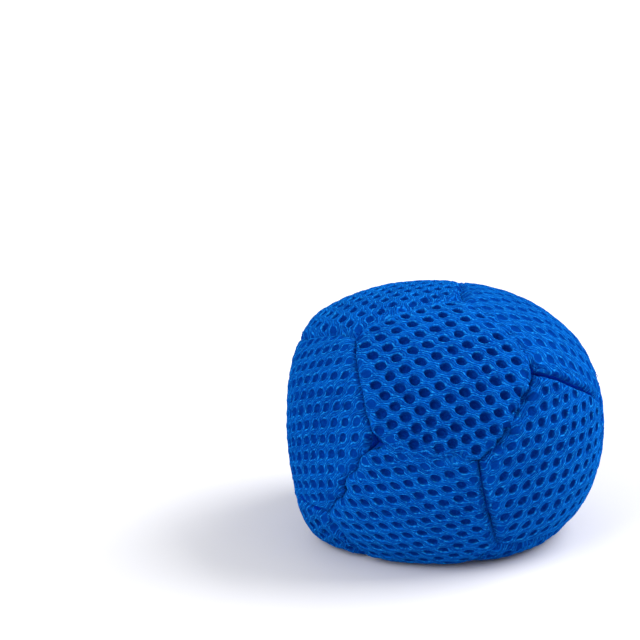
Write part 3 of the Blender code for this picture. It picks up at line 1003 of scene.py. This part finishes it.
def tubeMesh(paths, radius, sides):  # round tubes along paths of points, with their length and turn kept
    points, faces, marks = [], [], []
    for path in paths:
        ahead = unit(np.gradient(path, axis=0))
        aside = unit(np.cross(ahead, np.array((0.36, 0.48, 0.80))))  # any way across does
        above = np.cross(ahead, aside)
        lengths = np.concatenate(([0], np.cumsum(np.linalg.norm(np.diff(path, axis=0), axis=1)))) / mm
        start = len(points)
        for i, place in enumerate(path):
            for side in range(sides):
                turn = side * math.tau / sides
                points.append(place + radius * (math.cos(turn) * aside[i] + math.sin(turn) * above[i]))
                marks.append((lengths[i], side / sides, 0.0))
        for i in range(len(path) - 1):
            for side in range(sides):
                here, beside = start + i * sides + side, start + i * sides + (side + 1) % sides
                faces.append((here, beside, beside + sides, here + sides))
        faces.append(tuple(start + side for side in reversed(range(sides))))
        faces.append(tuple(start + (len(path) - 1) * sides + side for side in range(sides)))
    return points, faces, marks


def makeStrandPiece(name, paths, radius, sides, paint):
    points, faces, marks = tubeMesh(paths, radius, sides)
    mesh = bpy.data.meshes.new(name)
    mesh.from_pydata([tuple(point) for point in points], [], faces)
    mesh.polygons.foreach_set("use_smooth", [True] * len(faces))
    addVectors(mesh, "strand", np.array(marks).T)
    mesh.materials.append(paint)
    piece = bpy.data.objects.new(name, mesh)
    bpy.context.collection.objects.link(piece)
    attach(piece, "root")
    return piece


threadLook = {
    "radius": 0.24,  # mm
    "sides": 8,
    "stitched": 0.8,  # share of a seam
    "stitch": 2.4,  # mm
    "depth": 4.5,  # mm under the cloth
    "swing": 1.6,  # mm to each side of the seam, round both turned-in edges
    "swingEase": 0.45,  # below 1 for straight passes through the cloth
    "ladderStitched": 0.84,
    "ladderStitch": 1.33,
    "ladderReach": 0.75,
    "ladderWidth": 0.21,
    "ladderSink": 0.3,  # mm under the skin, and the seam's own valley on top
    "valleyShare": 0.45,
    "valleyWidth": 1.2,
    # one bar of the ladder: how far along, how far across, and mm under the cloth
    "ladderBar": ((-1.6, -1.15, 1.1), (-0.7, -1.15, 0.75), (-0.3, -1.0, 0.1), (-0.1, -0.6, -0.12),
                  (0, 0, 0.16), (0.1, 0.6, -0.12), (0.3, 1.0, 0.1), (0.7, 1.15, 0.75), (1.6, 1.15, 1.1)),
    "twist": 1.1,  # mm for one turn of the plies
    "light": (0.0015, 0.17, 0.66, 1),
    "dark": (0.0005, 0.05, 0.33, 1),
}


def makeThreadPaint():  # three plies twisted round each other
    paint, tree, shader = startPaint("sewingThread", rough=0.6, gloss=0.02, sheen=0.1, sheenRough=0.3,
                                     sheenTint=(0.0, 0.25, 0.85, 1))
    parts = addNode(tree, "ShaderNodeSeparateXYZ", {"Vector": readPoint(tree, "strand")})
    along = reckon(tree, "DIVIDE", parts.outputs["X"], threadLook["twist"])
    ply = times(tree, plus(tree, along, parts.outputs["Y"]), 3 * math.tau)
    ridge = spread(tree, reckon(tree, "SINE", ply), -1, 1)
    fibres = noiseOf(tree, vectorOf(tree, times(tree, ply, 0.9), parts.outputs["X"]), 2.0, 3.0)
    tone = plus(tree, times(tree, ridge, 0.6), times(tree, fibres, 0.4))
    color = blendOf(tree, tone, threadLook["dark"], threadLook["light"])
    finishPaint(tree, shader, color, tone, 0.9, 0.08)
    return paint


def seamFrame(seam, shares):  # points of the skin along a seam, the way down and the way across it
    at = shares * (len(seam["ways"]) - 1)
    low = np.minimum(at.astype(int), len(seam["ways"]) - 2)
    part = (at - low)[:, None]
    ways = unit(seam["ways"][low] * (1 - part) + seam["ways"][low + 1] * part)
    skin = skinPoints(ways)
    across = unit(np.cross(np.gradient(skin, axis=0), ways))
    draws = seam["draws"][low] * (1 - part[:, 0]) + seam["draws"][low + 1] * part[:, 0]
    return skin, ways, across, draws


def runningStitch(seam):  # through both turned-in edges and back, over and over
    look, share = threadLook, threadLook["stitched"]
    length = seam["spots"][-1] - seam["spots"][0]
    stitches = max(3, round(length * share / (look["stitch"] * mm)))
    steps = np.linspace(0, 1, stitches * 10 + 1)
    skin, ways, across, draws = seamFrame(seam, (1 - share) / 2 + share * steps)
    swing = np.sin(steps * stitches * math.pi)
    swing = np.sign(swing) * np.abs(swing) ** look["swingEase"] * look["swing"] * mm
    return skin - ways * look["depth"] * mm + across * swing[:, None] + bagPlace


def ladderStitch(seam):  # bars that show across the seam, and hidden runs under the cloth between them
    look, share = threadLook, threadLook["ladderStitched"]
    length = seam["spots"][-1] - seam["spots"][0]
    bars = round(length * share / (look["ladderStitch"] * mm))
    path = []
    for bar in range(bars):
        middle = (1 - share) / 2 + share * (bar + 0.5) / bars
        side = 1 if bar % 2 == 0 else -1
        for run, reach, deep in look["ladderBar"]:
            sideways = side * reach * look["ladderReach"] * mm
            path.append((middle + run * look["ladderWidth"] / bars, sideways, deep * mm))
    fine = np.linspace(0, len(path) - 1, len(path) * 3)
    shares, sideways, depths = (np.interp(fine, np.arange(len(path)), values) for values in zip(*path))
    skin, ways, across, draws = seamFrame(seam, shares)
    edge = np.clip(1 - np.abs(sideways) / (look["valleyWidth"] * mm), 0, 1)
    valley = draws * (1 - np.sqrt(1 - edge ** 2)) * look["valleyShare"] + look["ladderSink"] * mm
    return skin - ways * (valley + depths)[:, None] + across * sideways[:, None] + bagPlace


threadPaint = makeThreadPaint()
threadSize = (threadLook["radius"] * mm, threadLook["sides"])
for pair, seam in seams.items():
    if pair == ("back", "back_right"):
        thread = makeStrandPiece("closingThread", [ladderStitch(seam)], *threadSize, threadPaint)
        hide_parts("closing_thread")
    else:
        thread = makeStrandPiece("thread_" + "_".join(pair), [runningStitch(seam)], *threadSize, threadPaint)
        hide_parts("thread_" + pair[0] + "_to_" + pair[1])
print("threads sewn:", len(seams))


fuzzLook = {
    "radius": 0.055,  # mm
    "sides": 4,
    "length": (0.5, 1.5),  # mm
    "reach": (0.15, 2.2),  # mm from the seam
    "crowding": 1.7,  # above 1, more of them start near the seam
    "lift": (0.02, 0.16),  # mm above the cloth
    "bend": 1.8,  # how much a loop turns, in radians
    "offHole": 0.3,  # share of the knit's step that it keeps off a hole's middle
    "offSeam": 0.05,  # mm
    "offFloor": 0.2,
    "points": 9,
    "color": (0.006, 0.22, 0.80, 1),
    "deepColor": (0.0008, 0.07, 0.42, 1),
}


def fuzzPaths(panel, chance):  # loose loops of yarn that lie beside the seams, off the holes
    look, rim, chart, knit = fuzzLook, panel["rim"], panel["chart"], panel["knit"]
    run = np.arange(look["points"]) / (look["points"] - 1)
    (near, far), (low, high) = look["reach"], look["lift"]
    tries, lifts = [], []
    lengths = np.linalg.norm(rim.after - rim.loop, axis=1) / mm
    for i, start in enumerate(rim.loop):
        for _ in range(int(rim.found["fuzz"][i] * lengths[i] + chance.random())):
            away = near + (far - near) * chance.random() ** look["crowding"]
            turns = chance.random() * math.tau + chance.gauss(0, look["bend"]) * run
            walk = np.stack((np.cos(turns), np.sin(turns)), 1) * chance.uniform(*look["length"]) * mm * run[1]
            tries.append(start + rim.inward[i] * away * mm + np.cumsum(walk, axis=0) - walk.sum(0) / 2)
            lifts.append((low + high * chance.random() * np.sin(math.pi * run)) * mm)
    places, lifts = np.concatenate(tries), np.concatenate(lifts)
    counts = knit.counts(places)
    clear = np.linalg.norm(counts - np.round(counts), axis=1) > look["offHole"]
    clear &= rim.holds(places) & (rim.near(places)[0] > look["offSeam"] * mm)
    ways = chart.ways(places)
    points = skinPoints(ways) - skinNormals(ways) * (rim.drop(places) - lifts)[:, None] + bagPlace
    clear &= points[:, 2] > look["offFloor"] * mm
    paths = points.reshape(-1, look["points"], 3)
    return list(paths[clear.reshape(-1, look["points"]).all(1)])


def makeFuzzPaint():
    paint, tree, shader = startPaint("looseYarn", rough=0.7, gloss=0.0)
    place = addNode(tree, "ShaderNodeTexCoord").outputs["Object"]
    tone = spread(tree, noiseOf(tree, place, 900.0, 1.0), 0.35, 0.65)
    color = blendOf(tree, tone, fuzzLook["deepColor"], fuzzLook["color"])
    finishPaint(tree, shader, color, noiseOf(tree, readPoint(tree, "strand"), 6.0), 0.5, 0.03)
    return paint


fuzzChance = random.Random(seeds["yarn"])
fuzz = [path for name in panelNames for path in fuzzPaths(panels[name], fuzzChance)]
looseYarn = makeStrandPiece("looseYarn", fuzz, fuzzLook["radius"] * mm, fuzzLook["sides"], makeFuzzPaint())
print("loops of loose yarn:", len(fuzz))


pelletLook = {
    "count": 470,
    "radius": 1.95,  # mm
    "flat": (0.62, 0.85),  # a pellet's thickness against its width
    "depth": 4.6,  # mm under the cloth, for a pellet's middle
    "depthAtSeam": 8.3,
    "seamRoom": 3.9,  # mm kept clear beside the turned-in edges
    "coreDepth": 7.6,
    "white": (0.80, 0.79, 0.75, 1),
    "shade": (0.62, 0.61, 0.57, 1),
}


def makePelletPaint():
    paint, tree, shader = startPaint("plasticPellets", rough=0.38, gloss=0.5)
    place = addNode(tree, "ShaderNodeTexCoord").outputs["Object"]
    tone = spread(tree, noiseOf(tree, place, 220.0), 0.35, 0.65)
    color = blendOf(tree, tone, pelletLook["shade"], pelletLook["white"])
    finishPaint(tree, shader, color, noiseOf(tree, place, 1500.0, 3.0), 0.3, 0.05)
    return paint


def pelletPlaces():  # spread evenly by the golden turn, deeper where the seams reach in
    look = pelletLook
    seamWays = np.concatenate([seam["ways"] for seam in seams.values()])
    turns = np.arange(look["count"]) * math.pi * (3 - math.sqrt(5))
    heights = 1 - (2 * np.arange(look["count"]) + 1) / look["count"]
    level = np.sqrt(1 - heights ** 2)
    ways = np.stack((np.cos(turns) * level, np.sin(turns) * level, heights), 1)
    skin = skinPoints(ways)
    fromSeam = np.arccos(np.clip(ways @ seamWays.T, -1, 1)).min(1) * np.linalg.norm(skin, axis=1)
    depths = np.where(fromSeam > look["seamRoom"] * mm, look["depth"], look["depthAtSeam"]) * mm
    return skin - skinNormals(ways) * depths[:, None] + bagPlace


def makeFill():  # a layer of pellets under the cloth, over a core that stands for the rest
    look = pelletLook
    chance = random.Random(seeds["pellets"])
    pellets = bmesh.new()
    for place in pelletPlaces():
        made = bmesh.ops.create_icosphere(pellets, subdivisions=2, radius=look["radius"] * mm)["verts"]
        turn = Vector((chance.random(), chance.random(), chance.random())).normalized()
        flat = chance.uniform(*look["flat"])
        for vertex in made:
            vertex.co = vertex.co - turn * vertex.co.dot(turn) * (1 - flat) + Vector(place)
    core = bmesh.ops.create_icosphere(pellets, subdivisions=4, radius=1.0)["verts"]
    coreSkin = skinPoints(unit(np.array([vertex.co for vertex in core])))
    shrink = 1 - look["coreDepth"] * mm / np.linalg.norm(coreSkin, axis=1)
    for vertex, place in zip(core, coreSkin * shrink[:, None] + bagPlace):
        vertex.co = Vector(place)
    mesh = bpy.data.meshes.new("pelletFill")
    pellets.to_mesh(mesh)
    pellets.free()
    mesh.polygons.foreach_set("use_smooth", [True] * len(mesh.polygons))
    mesh.materials.append(makePelletPaint())
    fill = bpy.data.objects.new("pelletFill", mesh)
    bpy.context.collection.objects.link(fill)
    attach(fill, "root")
    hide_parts("pellet_fill")


makeFill()
print("fill poured")


# Floor, light and camera

studio = {
    "floorSize": 8,
    "paper": ((0.76, 0.76, 0.79, 1), (0.79, 0.79, 0.81, 1)),
    "lamps": {"keyLight": ((0.7, 0.25, 0.65), 13.0), "fillLight": ((-0.7, -0.55, 0.65), 8.0)},  # m and watts
    "lampSize": 0.8,
    "aim": (0, 0, 0.02),
    "sky": 0.60,
    "lens": 181.24,
    "sensor": 36,
    "cameraPlace": (-0.02331, -0.56463, 0.2235),
    "cameraDip": 18,  # degrees under the level
}


def makeFloor():  # a sheet of white paper
    paint, tree, shader = startPaint("paperFloor", rough=0.9, gloss=0.2)
    place = addNode(tree, "ShaderNodeTexCoord").outputs["Object"]
    color = blendOf(tree, noiseOf(tree, place, 40.0, 3.0), *studio["paper"])
    finishPaint(tree, shader, color, noiseOf(tree, place, 900.0), 0.1, 0.05)
    bpy.ops.mesh.primitive_plane_add(size=studio["floorSize"], location=(0, 0, 0))
    floor = bpy.context.active_object
    floor.name = "floor"
    floor.data.materials.append(paint)


def makeLamps():
    for name, (place, power) in studio["lamps"].items():
        lamp = bpy.data.lights.new(name, "AREA")
        lamp.size, lamp.energy = studio["lampSize"], power
        holder = bpy.data.objects.new(name, lamp)
        bpy.context.collection.objects.link(holder)
        holder.location = place
        holder.rotation_euler = (Vector(place) - Vector(studio["aim"])).to_track_quat("Z", "Y").to_euler()


def makeSky():
    world = bpy.data.worlds.new("studio")
    world.use_nodes = True
    sky = world.node_tree.nodes["Background"].inputs
    sky["Color"].default_value = (1, 1, 1, 1)
    sky["Strength"].default_value = studio["sky"]
    bpy.context.scene.world = world
    bpy.context.scene.view_settings.view_transform = "Standard"


def makeCamera():
    camera = bpy.data.cameras.new("photoView")
    camera.lens, camera.sensor_width = studio["lens"], studio["sensor"]
    camera.clip_start, camera.clip_end = 0.02, 50
    holder = bpy.data.objects.new("photoView", camera)
    bpy.context.collection.objects.link(holder)
    holder.location = studio["cameraPlace"]
    holder.rotation_euler = (math.radians(90 - studio["cameraDip"]), 0, 0)
    bpy.context.scene.camera = holder


makeFloor()
makeLamps()
makeSky()
makeCamera()
print("floor, lamps and camera placed")
